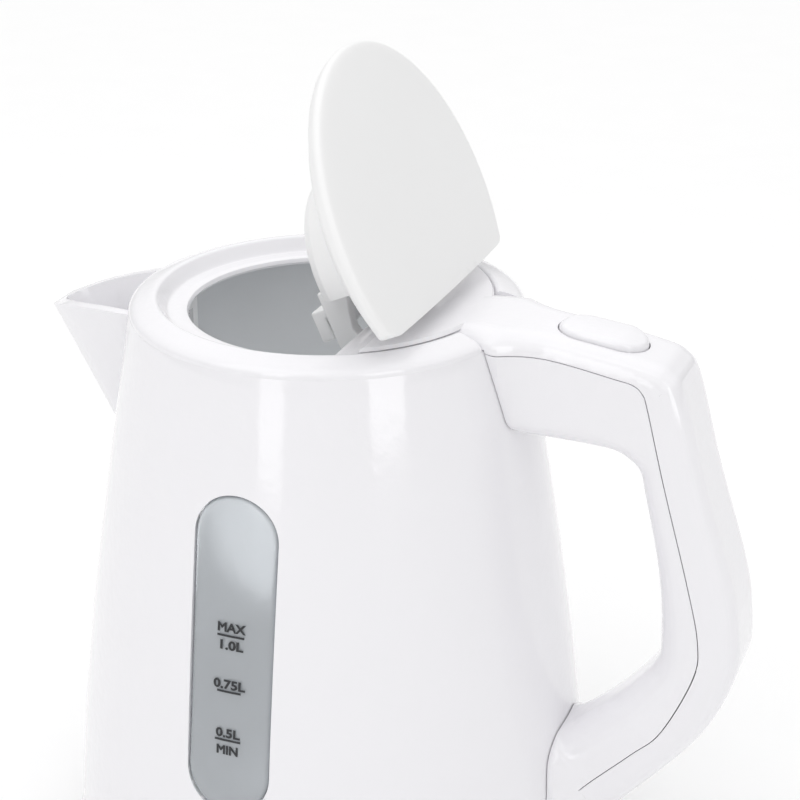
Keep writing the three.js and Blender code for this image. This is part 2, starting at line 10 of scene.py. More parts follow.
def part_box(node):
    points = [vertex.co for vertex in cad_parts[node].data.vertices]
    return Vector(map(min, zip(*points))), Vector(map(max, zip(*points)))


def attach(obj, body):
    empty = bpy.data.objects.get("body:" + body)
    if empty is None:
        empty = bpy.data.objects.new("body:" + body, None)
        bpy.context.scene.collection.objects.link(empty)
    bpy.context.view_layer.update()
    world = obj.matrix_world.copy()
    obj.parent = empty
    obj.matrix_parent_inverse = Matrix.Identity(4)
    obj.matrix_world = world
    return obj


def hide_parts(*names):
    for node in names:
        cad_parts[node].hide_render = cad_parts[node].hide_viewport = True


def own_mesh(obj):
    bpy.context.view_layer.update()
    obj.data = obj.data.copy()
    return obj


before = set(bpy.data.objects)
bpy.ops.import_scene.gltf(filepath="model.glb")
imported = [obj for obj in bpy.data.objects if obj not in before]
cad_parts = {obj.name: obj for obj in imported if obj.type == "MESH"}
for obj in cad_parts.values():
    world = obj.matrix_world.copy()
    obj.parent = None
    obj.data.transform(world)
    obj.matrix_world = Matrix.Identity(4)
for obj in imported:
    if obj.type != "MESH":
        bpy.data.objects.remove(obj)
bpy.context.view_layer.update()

bl_info = {
    "name": "Cordless kettle",
    "version": (1, 0, 0),
    "blender": (4, 5, 0),
    "location": "View3D > Sidebar > Kettle",
    "description": "Builds the visible shell, window, handle, lid and base of a cordless electric kettle",
    "category": "Add Mesh",
}

MM = 0.001
TINY = 1e-6
LIP_Z = 180.0
FOOT_Z = 15.5
WALL_CURVE = (57.07, 0.16875, 1.457e-4, -1.996e-6)
WALL = 2.4
SHELF = (47.8, 50.5)
POUR = [(-14, 168), (-3, 137), (3, 137), (14, 168)]
WINDOW = (12.3, 54, 146.4)
MARKS = [("MAX", 108.1, 1.08), ("1.0L", 103.0, 1.24), ("0.75L", 91.5, 1.2), ("0.5L", 77.0, 1.18),
         ("MIN", 71.9, 1.04)]
MARK_LINES = [(106.9, 4.1), (90.6, 3.6), (76.1, 3.9)]
HINGE = (31.9, 177.9)
LID_OPEN = math.radians(65.5)
LID_CHORD_X = 23.3
LID_CORNER = 9
LID_STEPS = 224
PLUG_X = 7
PLUG_REAR = 11.5
PLUG_SKIN = 1.8
PIN_HOLE = 1.8
SPOUT_EDGE = [(-88, 5.8, 169.9), (-84, 9, 171.3), (-80, 12, 172.6), (-74, 15.3, 174.1), (-68, 17.9, 175.3),
              (-62, 20.3, 176.3), (-55, 22.6, 177.1), (-45, 22.6, 177.1)]
GRIP_HALF = 13.4
BUTTON = (77.5, 88.0, 7.4)
BOSS_ANGLES = (60, 180, 300)
BASE_R, BASE_LOW, BASE_TOP = 82, 3.2, 14.7
FLOOR_REACH = 12
CEILING, HORIZON, SIDE_DIMMING = 0.75, 0.69, -0.42
OUTER = [(44, 4.7), (52.5, 4.8), (68.3, 3.8), (84, 1.9), (97.7, -0.3), (104, -2.6), (108.4, -8.9),
         (115.5, -33.9), (125, -63.6), (127.8, -79), (127.4, -93), (118.4, -113.9), (98.6, -138.3),
         (89.5, -147.7), (82, -154.4)]
INNER = [(76.1, -122.4), (81.8, -118.3), (93.3, -107.3), (103.2, -94.2), (105, -84.5),
         (103.4, -63), (98.5, -38.6), (97.3, -33.1), (94.8, -30), (90.6, -27.7), (83.4, -26.9),
         (61.5, -26.4), (50, -26)]
SEAM = [(53.5, -0.4), (57.9, -0.9), (74.3, -2.2), (89.5, -4.6), (94.9, -5.6), (97.8, -7.9), (99.5, -12.5),
        (104.9, -33.3), (113.4, -63.6), (117.3, -80.6), (116.7, -92.6), (108.4, -112.2),
        (99.8, -122), (85.1, -137.3)]


# ---------- plain shapes, drawn in millimetres ----------

def wall_radius(z):
    """Outer radius of the jug's wall at a height: a cone with a slight barrel."""
    d = LIP_Z - z
    a, b, c, e = WALL_CURVE
    return a + b * d + c * d ** 2 + e * d ** 3


def spread(a, b, count):
    return [a + (b - a) * i / count for i in range(count + 1)]


def smooth(points, count):
    """A Catmull-Rom curve through the points, in count equal steps of its parameter."""
    line = [Vector(p) for p in points]
    line = [line[0]] + line + [line[-1]]
    spans = len(line) - 3
    out = []
    for step in spread(0, spans, count):
        i = min(int(step), spans - 1)
        t = step - i
        a, b, c, d = line[i:i + 4]
        out.append(0.5 * (2 * b + (c - a) * t + (2 * a - 5 * b + 4 * c - d) * t ** 2
                          + (3 * b - a - 3 * c + d) * t ** 3))
    return [tuple(p) for p in out]


def offset_line(points, distance):
    """An open line moved sideways, to its left when the distance is positive."""
    out = []
    for i, (x, y) in enumerate(points):
        before, after = points[max(i - 1, 0)], points[min(i + 1, len(points) - 1)]
        run = (Vector(after) - Vector(before)).normalized()
        out.append((x - run.y * distance, y + run.x * distance))
    return out


def inset_loop(points, distances):
    """A closed counter-clockwise loop moved inwards by mitred vertex normals."""
    if not isinstance(distances, list):
        distances = [distances] * len(points)
    out = []
    for i, point in enumerate(points):
        here = Vector(point)
        a = (here - Vector(points[i - 1])).normalized()
        b = (Vector(points[(i + 1) % len(points)]) - here).normalized()
        normal = Vector((-a.y - b.y, a.x + b.x))
        size = max(normal.length_squared / 2, 0.35)
        out.append(tuple(here + normal / size * distances[i]))
    return out


def counter_clockwise(points):
    area = sum(points[i - 1][0] * p[1] - p[0] * points[i - 1][1] for i, p in enumerate(points))
    return points if area > 0 else points[::-1]


def solid(name, verts, faces):
    """A new object from vertices in millimetres, its faces turned outwards."""
    mesh = bpy.data.meshes.new(name)
    mesh.from_pydata([Vector(v) * MM for v in verts], [], faces)
    bm = bmesh.new()
    bm.from_mesh(mesh)
    bmesh.ops.remove_doubles(bm, verts=bm.verts, dist=1e-7)
    bmesh.ops.recalc_face_normals(bm, faces=bm.faces)
    bm.to_mesh(mesh)
    bm.free()
    obj = bpy.data.objects.new(name, mesh)
    bpy.context.scene.collection.objects.link(obj)
    return obj


def lofted(name, loops, closed=False):
    """A skin through loops of equal length, capped at both ends unless it closes on itself."""
    size = len(loops[0])
    verts = [v for loop in loops for v in loop]
    faces = []
    last = len(loops) if closed else len(loops) - 1
    for i in range(last):
        a, b = i * size, (i + 1) % len(loops) * size
        for j in range(size):
            k = (j + 1) % size
            faces.append((a + j, a + k, b + k, b + j))
    if not closed:
        faces += [tuple(range(size))[::-1], tuple((len(loops) - 1) * size + j for j in range(size))]
    return solid(name, verts, faces)


def turned(name, profile, steps=192, centre=(0, 0)):
    """A closed profile of (radius, height) turned about a vertical axis."""
    loops = []
    for i in range(steps):
        angle = 2 * math.pi * i / steps
        c, s = math.cos(angle), math.sin(angle)
        loops.append([(centre[0] + max(r, 0) * c, centre[1] + max(r, 0) * s, z) for r, z in profile])
    if min(r for r, _ in profile) > TINY:
        return lofted(name, loops, closed=True)
    # A profile that reaches the axis: its two ends become single points.
    verts, faces = [], []
    size = len(profile)
    for loop in loops:
        verts += loop
    for i in range(steps):
        a, b = i * size, (i + 1) % steps * size
        for j in range(size - 1):
            quad = [a + j, a + j + 1, b + j + 1, b + j]
            if profile[j][0] <= TINY:
                quad = [a + j, a + j + 1, b + j + 1]
            if profile[j + 1][0] <= TINY:
                quad = [a + j, a + j + 1, b + j]
            if max(profile[j][0], profile[j + 1][0]) > TINY:
                faces.append(tuple(quad))
    return solid(name, verts, faces)


def prism(name, outline, axis, low, high):
    """An outline pushed along Y (given as x, z), X (given as y, z) or Z (given as x, y)."""
    place = {"Y": lambda p, t: (p[0], t, p[1]), "X": lambda p, t: (t, p[0], p[1]),
             "Z": lambda p, t: (p[0], p[1], t)}[axis]
    return lofted(name, [[place(p, t) for p in outline] for t in (low, high)])


def box(x0, x1, y0, y1, z0, z1):
    return prism("cut", [(x0, y0), (x1, y0), (x1, y1), (x0, y1)], "Z", z0, z1)


def bar(start, end, radius, steps=48):
    """A round bar between two points."""
    start, end = Vector(start), Vector(end)
    turn = (end - start).to_track_quat("Z", "Y")
    ring = [turn @ Vector((radius * math.cos(2 * math.pi * i / steps),
                           radius * math.sin(2 * math.pi * i / steps), 0)) for i in range(steps)]
    return lofted("bar", [[start + p for p in ring], [end + p for p in ring]])


def stadium(half, low, high, middle=0, steps=24):
    """An upright outline with round ends, counter-clockwise."""
    points = []
    for centre, first in ((high - half, 0), (low + half, math.pi)):
        for i in range(steps + 1):
            angle = first + math.pi * i / steps
            points.append((middle + half * math.cos(angle), centre + half * math.sin(angle)))
    return points


def combine(target, tool, operation):
    """Joins, cuts or intersects the target with the tool, which is then removed."""
    change = target.modifiers.new("combine", "BOOLEAN")
    change.operation, change.object, change.solver = operation, tool, "MANIFOLD"
    graph = bpy.context.evaluated_depsgraph_get()
    mesh = bpy.data.meshes.new_from_object(target.evaluated_get(graph))
    if not mesh.polygons:
        change.solver = "EXACT"
        graph = bpy.context.evaluated_depsgraph_get()
        mesh = bpy.data.meshes.new_from_object(target.evaluated_get(graph))
    if not mesh.polygons:
        raise RuntimeError(f"{target.name}: nothing is left after {operation}")
    target.modifiers.remove(change)
    target.data = mesh
    bpy.data.objects.remove(tool)
    return target


def cut(target, *tools):
    for tool in tools:
        combine(target, tool, "DIFFERENCE")
    return target


def join(target, *tools):
    for tool in tools:
        combine(target, tool, "UNION")
    return target


def moved(obj, matrix):
    obj.data.transform(matrix)
    obj.data.update()
    return obj


def rounded(obj, width, segments=3, angle=30):
    """Rounds the edges sharper than an angle, applied to the mesh."""
    change = obj.modifiers.new("round", "BEVEL")
    change.width, change.segments = width * MM, segments
    change.limit_method, change.angle_limit = "ANGLE", math.radians(angle)
    graph = bpy.context.evaluated_depsgraph_get()
    mesh = bpy.data.meshes.new_from_object(obj.evaluated_get(graph))
    obj.modifiers.remove(change)
    obj.data = mesh
    return obj


def finished(obj, name, body, nodes, materials, sharp=32):
    """Names a piece, gives it its finish and hands it to its body."""
    obj.name = obj.data.name = name
    bm = bmesh.new()
    bm.from_mesh(obj.data)
    bmesh.ops.remove_doubles(bm, verts=bm.verts, dist=2e-6)
    bmesh.ops.dissolve_degenerate(bm, edges=bm.edges, dist=2e-6)
    bm.to_mesh(obj.data)
    bm.free()
    obj.data.shade_smooth()
    obj.data.set_sharp_from_angle(angle=math.radians(sharp))
    obj.data.materials.clear()
    for finish in materials:
        obj.data.materials.append(finish)
    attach(obj, body)
    if nodes:
        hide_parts(*nodes)
    return obj


# ---------- materials ----------

def srgb(code):
    """Linear colour of an sRGB hex code."""
    channels = [int(code[i:i + 2], 16) / 255 for i in (1, 3, 5)]
    return tuple(c / 12.92 if c <= 0.04045 else ((c + 0.055) / 1.055) ** 2.4 for c in channels) + (1,)


def node(tree, kind, inputs=None, **settings):
    """Adds a node, sets its properties, and sets or links each of its inputs."""
    made = tree.nodes.new(kind)
    for key, value in settings.items():
        setattr(made, key, value)
    for key, value in (inputs or {}).items():
        if isinstance(value, tuple) and value and isinstance(value[0], bpy.types.Node):
            tree.links.new(value[0].outputs[value[1]], made.inputs[key])
        else:
            made.inputs[key].default_value = value
    return made


def material(name, colour, shader, grain_mm=0.3, bump=0.1, tint=0.02, stretch=(1, 1, 1)):
    """A moulded or rolled finish: slight colour drift, and a fine grain in its height and gloss."""
    made = bpy.data.materials.get(name)
    if made:
        return made
    made = bpy.data.materials.new(name)
    made.use_nodes = True
    tree = made.node_tree
    tree.nodes.clear()
    where = node(tree, "ShaderNodeTexCoord")
    laid = node(tree, "ShaderNodeMapping", {"Vector": (where, "Object"), "Scale": stretch})
    grain = node(tree, "ShaderNodeTexNoise",
                 {"Vector": (laid, "Vector"), "Scale": 1 / (grain_mm * MM), "Detail": 3.0})
    drift = node(tree, "ShaderNodeTexNoise",
                 {"Vector": (where, "Object"), "Scale": 28.0, "Detail": 2.0})
    dark = tuple(c * (1 - tint) for c in srgb(colour)[:3]) + (1,)
    shade = node(tree, "ShaderNodeMix", {0: (drift, "Fac"), 6: srgb(colour), 7: dark},
                 data_type="RGBA")
    rough = shader.get("Roughness", 0.4)
    gloss = node(tree, "ShaderNodeMapRange", {"Value": (grain, "Fac"), "To Min": rough * 0.85,
                                              "To Max": min(rough * 1.15, 1)})
    relief = node(tree, "ShaderNodeBump", {"Height": (grain, "Fac"), "Strength": bump,
                                           "Distance": grain_mm * MM * 0.4})
    surface = node(tree, "ShaderNodeBsdfPrincipled",
                   {"Base Color": (shade, 2), "Normal": (relief, "Normal")})
    for key, value in shader.items():
        surface.inputs[key].default_value = value
    tree.links.new(gloss.outputs["Result"], surface.inputs["Roughness"])
    node(tree, "ShaderNodeOutputMaterial", {"Surface": (surface, "BSDF")})
    made.diffuse_color = srgb(colour)
    return made


def gloss_white():
    """Polypropylene from a polished mould: bright, with a faint orange peel that softens reflections."""
    return material("polished_white_polypropylene", bpy.context.scene.kettle_finish_hex.body,
                    {"Roughness": 0.09, "IOR": 1.49, "Coat Weight": 0.25, "Coat Roughness": 0.04},
                    grain_mm=3.0, bump=0.05, tint=0.012)


def satin_white():
    """Polypropylene from a spark-eroded mould: an even satin, with a grain felt more than seen."""
    return material("spark_eroded_white_polypropylene", "#F7F7F7",
                    {"Roughness": 0.42, "IOR": 1.49}, grain_mm=0.35, bump=0.12, tint=0.015)


def shaded_interior_white():
    """The same white polypropylene inside the jug, duller, and painted grey as painted shade of the deep
    hollow.
    """
    return material("painted_shade_interior_polypropylene", "#DADCDE", {"Roughness": 0.36, "IOR": 1.49},
                    grain_mm=0.8, bump=0.1, tint=0.06)


def window_clear():
    """Clear styrene-acrylonitrile, polished outside and finely matt inside: it reads as smoky grey."""
    return material("smoky_clear_san", "#D4D8DC",
                    {"Roughness": 0.22, "IOR": 1.57, "Transmission Weight": 0.55},
                    grain_mm=2.0, bump=0.03)


def printed_grey():
    """Pad-printed ink: flat dark grey, a little matt against the polished window."""
    return material("pad_printed_grey_ink", "#232528", {"Roughness": 0.5}, grain_mm=0.2, bump=0.05)


def dark_plastic():
    """Glass-filled polyamide, moulded dark grey: a dry surface with a fine fibre grain."""
    return material("moulded_dark_polyamide", "#2E2F31", {"Roughness": 0.48, "IOR": 1.53},
                    grain_mm=0.4, bump=0.2, tint=0.1)


def rubber():
    """Thermoplastic rubber: dark, matt and slightly bloomed."""
    return material("moulded_grey_rubber", "#3B3C3E", {"Roughness": 0.75, "Sheen Weight": 0.1},
                    grain_mm=0.5, bump=0.2, tint=0.12)


def silicone():
    """Cast translucent silicone: milky, with a soft wet gloss."""
    return material("translucent_cast_silicone", "#DADBDC",
                    {"Roughness": 0.35, "Transmission Weight": 0.3, "Subsurface Weight": 0.2},
                    grain_mm=0.8)


def steel():
    """Rolled stainless steel: bright, with fine lines along the rolling direction."""
    return material("rolled_stainless_steel", "#C9CACC", {"Roughness": 0.24, "Metallic": 1.0},
                    grain_mm=0.5, bump=0.15, tint=0.05, stretch=(1, 14, 1))


def brass():
    """Stamped brass contact strip: warm metal with faint press marks."""
    return material("stamped_contact_brass", "#C9A24E", {"Roughness": 0.26, "Metallic": 1.0},
                    grain_mm=0.4, bump=0.12, tint=0.08)


# ---------- geometry node trees ----------

def tree_of(name, sockets):
    """An empty geometry tree with named inputs and its group ends."""
    tree = bpy.data.node_groups.new(name, "GeometryNodeTree")
    tree.interface.new_socket("Geometry", in_out="OUTPUT", socket_type="NodeSocketGeometry")
    tree.interface.new_socket("Geometry", in_out="INPUT", socket_type="NodeSocketGeometry")
    for label, kind, value in sockets:
        made = tree.interface.new_socket(label, in_out="INPUT", socket_type="NodeSocket" + kind)
        if value is not None:
            made.default_value = value
    return tree, node(tree, "NodeGroupInput")


def close_tree(tree, geometry, given):
    """Ends a tree as every tree here ends: real geometry, smooth, with its material."""
    real = node(tree, "GeometryNodeRealizeInstances", {"Geometry": geometry})
    soft = node(tree, "GeometryNodeSetShadeSmooth", {"Geometry": (real, "Geometry")})
    dressed = node(tree, "GeometryNodeSetMaterial",
                   {"Geometry": (soft, "Geometry"), "Material": (given, "Material")})
    node(tree, "NodeGroupOutput", {"Geometry": (dressed, "Geometry")})
    return tree


def grown(name, tree, values, seed_verts=((0, 0, 0),), seed_edges=()):
    """Runs a tree on a seed mesh given in millimetres, and returns the result as a plain object."""
    mesh = bpy.data.meshes.new(name)
    mesh.from_pydata([Vector(v) * MM for v in seed_verts], list(seed_edges), [])
    obj = bpy.data.objects.new(name, mesh)
    bpy.context.scene.collection.objects.link(obj)
    change = obj.modifiers.new("grow", "NODES")
    change.node_group = tree
    for item in tree.interface.items_tree:
        if item.item_type == "SOCKET" and item.in_out == "INPUT" and item.name in values:
            change[item.identifier] = values[item.name]
    graph = bpy.context.evaluated_depsgraph_get()
    result = bpy.data.meshes.new_from_object(obj.evaluated_get(graph))
    obj.modifiers.remove(change)
    obj.data = result
    if not result.polygons:
        raise RuntimeError(f"{name}: the tree gave no faces")
    return obj


def lathe_tree():
    """Turns the seed line, given as (radius - 0.05 m, height), about the vertical axis."""
    tree, given = tree_of("turned_from_profile",
                          [("Steps", "Int", 192), ("Material", "Material", None)])
    line = node(tree, "GeometryNodeMeshToCurve", {"Mesh": (given, "Geometry")})
    ring = node(tree, "GeometryNodeCurvePrimitiveCircle",
                {"Resolution": (given, "Steps"), "Radius": 0.05})
    skin = node(tree, "GeometryNodeCurveToMesh",
                {"Curve": (ring, "Curve"), "Profile Curve": (line, "Curve")})
    welded = node(tree, "GeometryNodeMergeByDistance",
                  {"Geometry": (skin, "Mesh"), "Distance": 1e-7})
    return close_tree(tree, (welded, "Geometry"), given)


def coil_tree():
    """A round wire wound into an upright coil."""
    tree, given = tree_of("wound_coil", [
        ("Turns", "Float", 6.0), ("Radius", "Float", 0.003), ("Wire", "Float", 0.0004),
        ("Height", "Float", 0.01), ("Place", "Vector", (0, 0, 0)), ("Turned", "Vector", (0, 0, 0)),
        ("Material", "Material", None)])
    path = node(tree, "GeometryNodeCurveSpiral", {
        "Resolution": 28, "Rotations": (given, "Turns"), "Start Radius": (given, "Radius"),
        "End Radius": (given, "Radius"), "Height": (given, "Height")})
    wire = node(tree, "GeometryNodeCurvePrimitiveCircle",
                {"Resolution": 10, "Radius": (given, "Wire")})
    skin = node(tree, "GeometryNodeCurveToMesh",
                {"Curve": (path, "Curve"), "Profile Curve": (wire, "Curve"), "Fill Caps": True})
    laid = node(tree, "GeometryNodeTransform", {
        "Geometry": (skin, "Mesh"), "Translation": (given, "Place"), "Rotation": (given, "Turned")})
    return close_tree(tree, (laid, "Geometry"), given)


def screw_tree():
    """Pan-head screws with a cross recess, one on each seed point, heads down."""
    tree, given = tree_of("cross_head_screws", [
        ("Head Radius", "Float", 0.0028), ("Head Height", "Float", 0.001),
        ("Shank Radius", "Float", 0.0012), ("Shank Length", "Float", 0.009),
        ("Turned", "Vector", (0, 0, 0)), ("Material", "Material", None)])
    head = node(tree, "GeometryNodeMeshCone", {
        "Vertices": 28, "Side Segments": 2, "Radius Top": (given, "Head Radius"),
        "Radius Bottom": (given, "Head Radius"), "Depth": (given, "Head Height")})
    slot_x = node(tree, "GeometryNodeMeshCube", {"Size": (0.0034, 0.0007, 0.0012)})
    slot_y = node(tree, "GeometryNodeMeshCube", {"Size": (0.0007, 0.0034, 0.0012)})
    carved = head
    for slot in (slot_x, slot_y):
        carved = node(tree, "GeometryNodeMeshBoolean",
                      {"Mesh 1": (carved, "Mesh"), "Mesh 2": (slot, "Mesh")}, operation="DIFFERENCE")
    shank = node(tree, "GeometryNodeMeshCylinder", {
        "Vertices": 16, "Radius": (given, "Shank Radius"), "Depth": (given, "Shank Length")})
    reach = node(tree, "ShaderNodeMath", {0: (given, "Shank Length"), 1: 0.5}, operation="MULTIPLY")
    rise = node(tree, "ShaderNodeMath", {0: (reach, 0), 1: 0.0008}, operation="ADD")
    lift = node(tree, "ShaderNodeCombineXYZ", {"Z": (rise, 0)})
    raised = node(tree, "GeometryNodeTransform",
                  {"Geometry": (shank, "Mesh"), "Translation": (lift, 0)})
    whole = node(tree, "GeometryNodeJoinGeometry")
    tree.links.new(carved.outputs["Mesh"], whole.inputs[0])
    tree.links.new(raised.outputs["Geometry"], whole.inputs[0])
    turned_one = node(tree, "GeometryNodeTransform", {
        "Geometry": (whole, "Geometry"), "Rotation": (given, "Turned")})
    points = node(tree, "GeometryNodeMeshToPoints", {"Mesh": (given, "Geometry")})
    spread_out = node(tree, "GeometryNodeInstanceOnPoints", {
        "Points": (points, "Points"), "Instance": (turned_one, "Geometry")})
    return close_tree(tree, (spread_out, "Instances"), given)


def gauze_tree():
    """Two crossed layers of straight wires in an upright YZ sheet, centred on the seed point."""
    tree, given = tree_of("wire_gauze", [
        ("Width", "Float", 0.0254), ("Height", "Float", 0.0354), ("Pitch", "Float", 0.0009),
        ("Wire", "Float", 0.00016), ("Material", "Material", None)])
    both = node(tree, "GeometryNodeJoinGeometry")
    for along, across, turn, shift in (("Width", "Height", (math.pi / 2, 0, 0), 0.00013),
                                       ("Height", "Width", (0, 0, 0), -0.00013)):
        wire = node(tree, "GeometryNodeMeshCylinder", {
            "Vertices": 6, "Radius": (given, "Wire"), "Depth": (given, along)})
        laid = node(tree, "GeometryNodeTransform", {
            "Geometry": (wire, "Mesh"), "Rotation": turn, "Translation": (shift, 0, 0)})
        ratio = node(tree, "ShaderNodeMath", {0: (given, across), 1: (given, "Pitch")},
                     operation="DIVIDE")
        count = node(tree, "ShaderNodeMath", {0: (ratio, 0)}, operation="FLOOR")
        half = node(tree, "ShaderNodeMath", {0: (given, across), 1: -0.49},
                    operation="MULTIPLY")
        axis = "Z" if along == "Width" else "Y"
        first = node(tree, "ShaderNodeCombineXYZ", {axis: (half, 0)})
        step = node(tree, "ShaderNodeCombineXYZ", {axis: (given, "Pitch")})
        line = node(tree, "GeometryNodeMeshLine", {
            "Count": (count, 0), "Start Location": (first, 0), "Offset": (step, 0)})
        row = node(tree, "GeometryNodeInstanceOnPoints",
                   {"Points": (line, "Mesh"), "Instance": (laid, "Geometry")})
        tree.links.new(row.outputs["Instances"], both.inputs[0])
    points = node(tree, "GeometryNodeMeshToPoints", {"Mesh": (given, "Geometry")})
    sheet = node(tree, "GeometryNodeInstanceOnPoints",
                 {"Points": (points, "Points"), "Instance": (both, "Geometry")})
    return close_tree(tree, (sheet, "Instances"), given)


# ---------- sizes and colours a user may change ----------

class KettleFinish(bpy.types.PropertyGroup):
    body_colour: FloatVectorProperty(
        name="Body colour", description="sRGB colour of the glossy shell", subtype="COLOR_GAMMA",
        size=3, min=0, max=1, default=(0.957, 0.953, 0.965))

    @property
    def body(self):
        return "#" + "".join(f"{round(c * 255):02X}" for c in self.body_colour)


class KettleShape(bpy.types.PropertyGroup):
    steps: IntProperty(name="Turning steps", description="Facets round the jug",
                       default=256, min=64, max=512)
    edge: FloatProperty(name="Handle edge", description="Rounding along the handle's edges",
                        default=5.2 * MM, min=3 * MM, max=8 * MM, unit="LENGTH")
    gauze_pitch: FloatProperty(name="Gauze pitch", description="Distance between the filter's wires",
                               default=0.9 * MM, min=0.5 * MM, max=2 * MM, unit="LENGTH")
    coil_turns: IntProperty(name="Coil turns", description="Turns of each spring",
                            default=7, min=3, max=14)


# ---------- the pieces ----------

def wall_solid(offset, z0, z1, steps=None):
    """Everything inside the jug's outer wall, moved out by an offset."""
    steps = steps or bpy.context.scene.kettle_shape.steps
    rows = [(wall_radius(z) + offset, z) for z in spread(z0, z1, 30)]
    return turned("wall", [(0, z0)] + rows + [(0, z1)], steps)


def beak(inset, top):
    """The spout as a solid keeled beak, leaf-shaped from above."""
    points = [(-90.5 + 2.2 * inset, 0, 168 + top), (-66.6 + 1.2 * inset, 0, 122.3 + 4 * inset),
              (-45, 0, 122.3 + 4 * inset)]
    for x, half, z in smooth(SPOUT_EDGE, 28):
        for side in (-1, 1):
            points.append((x + 1.5 * inset, side * (half - 0.9 * inset), z + top))
    bm = bmesh.new()
    for p in points:
        bm.verts.new(Vector(p) * MM)
    bmesh.ops.convex_hull(bm, input=bm.verts)
    bmesh.ops.dissolve_limit(bm, angle_limit=0.02, verts=bm.verts, edges=bm.edges)
    bmesh.ops.recalc_face_normals(bm, faces=bm.faces)
    mesh = bpy.data.meshes.new("beak")
    bm.to_mesh(mesh)
    bm.free()
    obj = bpy.data.objects.new("beak", mesh)
    bpy.context.scene.collection.objects.link(obj)
    return obj


def pour_prism():
    """The hole through the wall behind the spout."""
    return prism("pour", POUR, "X", -76, -50)


class KETTLE_OT_jug(bpy.types.Operator):
    """Turn the jug's wall and rim, and join the spout to it"""
    bl_idname = "kettle.jug"
    bl_label = "Jug shell and spout"

    def execute(self, context):
        steps = context.scene.kettle_shape.steps
        shelf_low, shelf_top = SHELF
        outer = [(wall_radius(z), z) for z in spread(FOOT_Z, 179.4, 44)]
        crest = smooth([(57.07, 179.6), (56.95, 181), (55.5, 182.3), (53.2, 183.2), (50.6, 183.95),
                        (49.2, 183.9), (48.3, 183.0), (46.6, 180.7), (45.9, 180.1), (45.2, LIP_Z)], 40)
        lip = [(43, LIP_Z), (41, LIP_Z), (40.4, 179.8), (40.1, 179.3), (39.9, 178.8), (40.4, 178),
               (50, 177.6)]
        inner = [(wall_radius(z) - WALL, z) for z in spread(174, shelf_top, 24)]
        shelf = [(58, shelf_top), (58, shelf_low)]
        below = [(wall_radius(z) - WALL, z) for z in (shelf_low, FOOT_Z)]
        body = turned("jug", outer + crest + lip + inner + shelf + below, steps)
        pour = pour_prism()
        spout = rounded(beak(0, 0), 0.4, 3, 20)
        pour_in_wall = combine(pour_prism(), wall_solid(0, 100, 190), "INTERSECT")
        spout = cut(spout, wall_solid(-0.5, 100, 190), pour_in_wall)
        channel = cut(beak(1, 6), wall_solid(0, 100, 190))
        body = cut(join(cut(body, pour), spout), channel)
        passage = prism("passage", [(42, -16.2), (66, -21.8), (66, 21.8), (42, 16.2)], "Z", LIP_Z, 190)
        half, low, high = WINDOW
        pane = prism("pane", stadium(half + 0.3, low - 0.3, high + 0.3, steps=40), "Y", -100, -40)
        cut(body, passage, box(26.5, 42.8, -18, 18, 176, 181), pane)
        for degrees in BOSS_ANGLES:
            angle = math.radians(degrees + 20)
            x, y = 69 * math.cos(angle), 69 * math.sin(angle)
            join(body, bar((x, y, 18), (x, y, 48.3), 3.6))
            cut(body, bar((x, y, 17), (x, y, 32), 1.5, 24))
        cut(body, bar((68, 0, 45), (68, 0, 53), 5), box(70, 90, -9, 9, 10, 25.5))
        finished(body, "jug_shell", "jug", ["jug_body"],
                 [gloss_white(), shaded_interior_white()], sharp=28)
        # The faces inside the wall take the greyer second finish: painted shade of the jug's hollow.
        for face in body.data.polygons:
            x, y, z = face.center / MM
            if z < 177.9 and math.hypot(x, y) < wall_radius(z) - 1.2 and x > -68:
                face.material_index = 1
        return {"FINISHED"}


